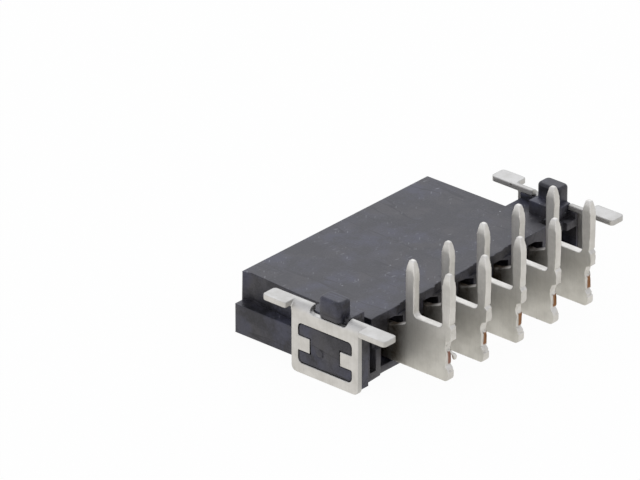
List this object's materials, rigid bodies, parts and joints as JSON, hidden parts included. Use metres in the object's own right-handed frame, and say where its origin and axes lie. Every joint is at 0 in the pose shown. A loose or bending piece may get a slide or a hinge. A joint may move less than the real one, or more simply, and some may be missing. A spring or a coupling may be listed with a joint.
{
  "type": "right-angle board connector",
  "caption": "Right-angle power connector for a circuit board: low moulded body, upright two-legged blade contacts and stamped hold-downs at both ends.",
  "frame": {"origin": "middle of the bounding box at the flat cover face that the part lies on", "axes": "+X along the row of contacts, +Y the mating direction, +Z the way the solder legs point"},
  "size_m": [0.0174, 0.0118, 0.006],
  "materials": {
    "moulded_body": "black glass-filled polymer, moulded, matt",
    "contact_plating": "copper alloy, matt tin plating",
    "hold_down_plating": "copper alloy, matt tin plating"
  },
  "bodies": {
    "root": {"housing": "moulded_body", "power_contact_1": "contact_plating", "power_contact_2": "contact_plating", "power_contact_3": "contact_plating", "power_contact_4": "contact_plating", "power_contact_5": "contact_plating", "hold_down_left": "hold_down_plating", "hold_down_right": "hold_down_plating"}
  },
  "joints": []
}
